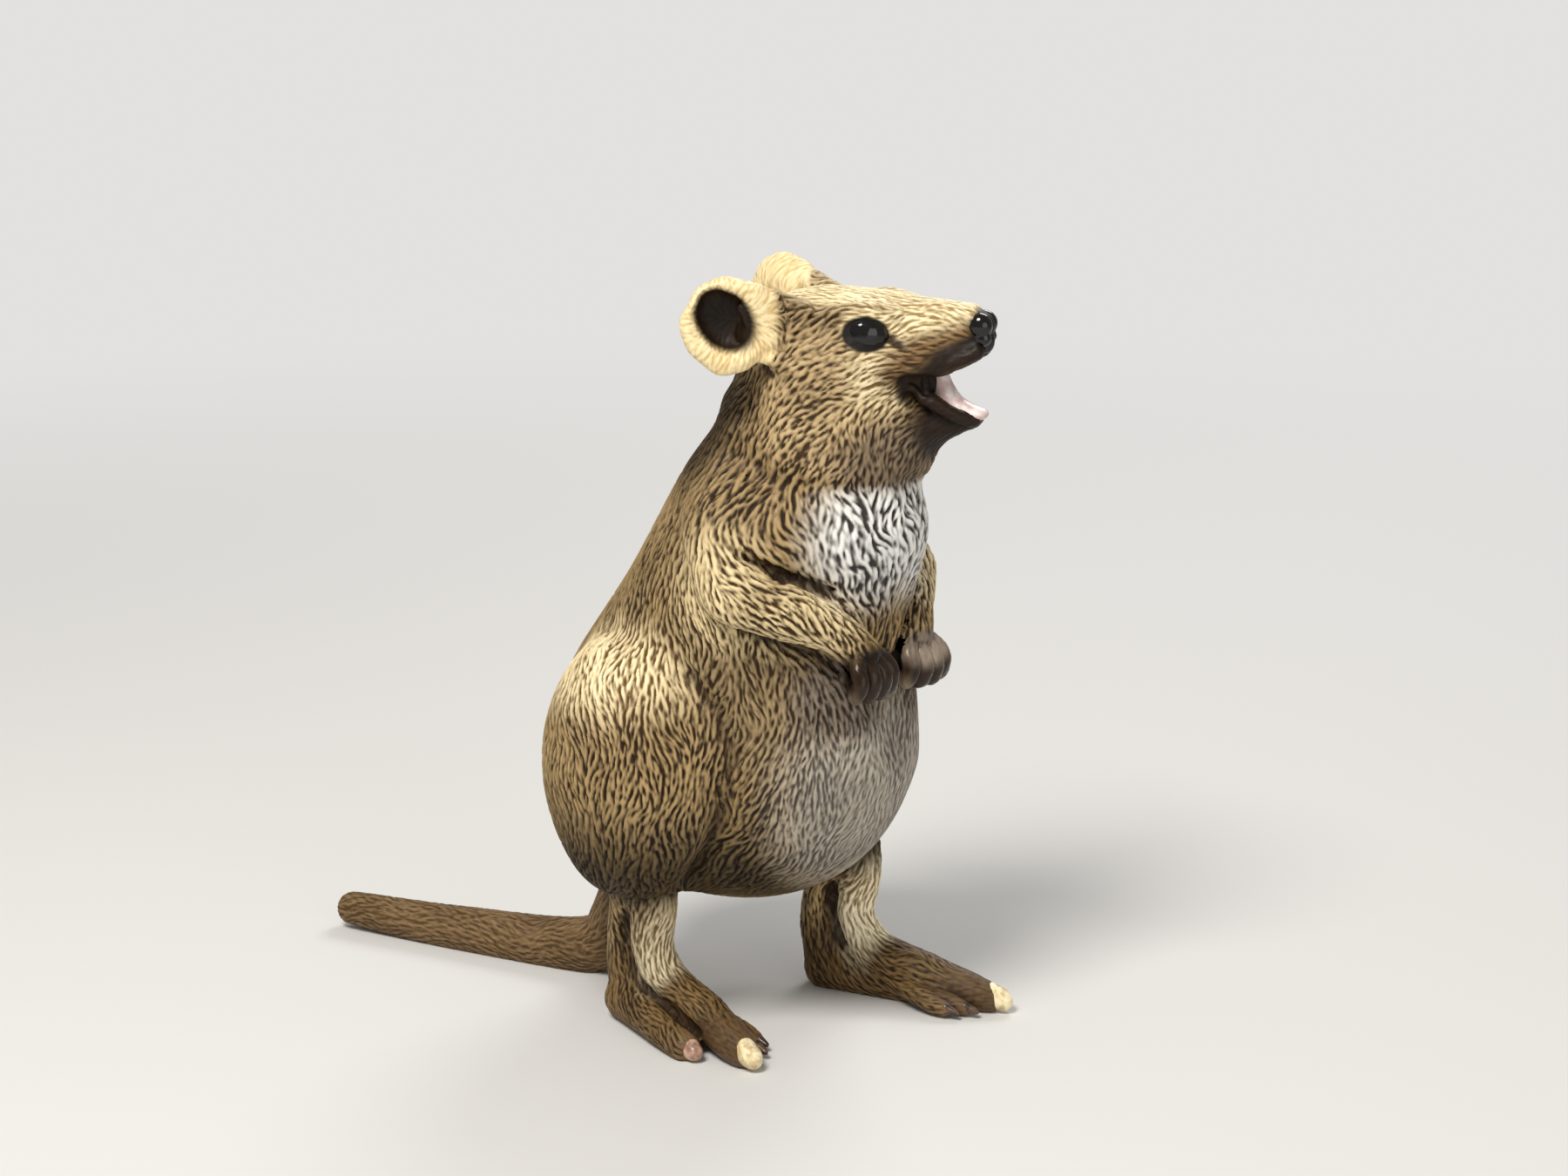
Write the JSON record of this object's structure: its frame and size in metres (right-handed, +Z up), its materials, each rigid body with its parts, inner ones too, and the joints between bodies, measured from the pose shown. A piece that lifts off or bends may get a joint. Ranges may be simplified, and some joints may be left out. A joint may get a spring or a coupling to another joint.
{
  "type": "quokka figurine",
  "caption": "Small moulded vinyl figurine of a quokka standing on its hind feet and tail, head turned, mouth open, hands together at the chest.",
  "frame": {"origin": "middle of the bounding box in plan, on the floor that the figurine stands on", "axes": "+Z up, -Y the way the animal's body faces, +X the animal's left"},
  "size_m": [0.0218, 0.0429, 0.0434],
  "materials": {
    "fur_paint": "satin painted PVC, moulded fur with dark wash",
    "gloss_paint": "gloss black paint on the eyes and nose"
  },
  "bodies": {
    "root": {"body": "fur_paint", "head": "fur_paint", "left_ear": "fur_paint", "right_ear": "fur_paint", "left_arm": "fur_paint", "right_arm": "fur_paint", "left_leg": "fur_paint", "right_leg": "fur_paint", "tail": "fur_paint"}
  },
  "joints": []
}
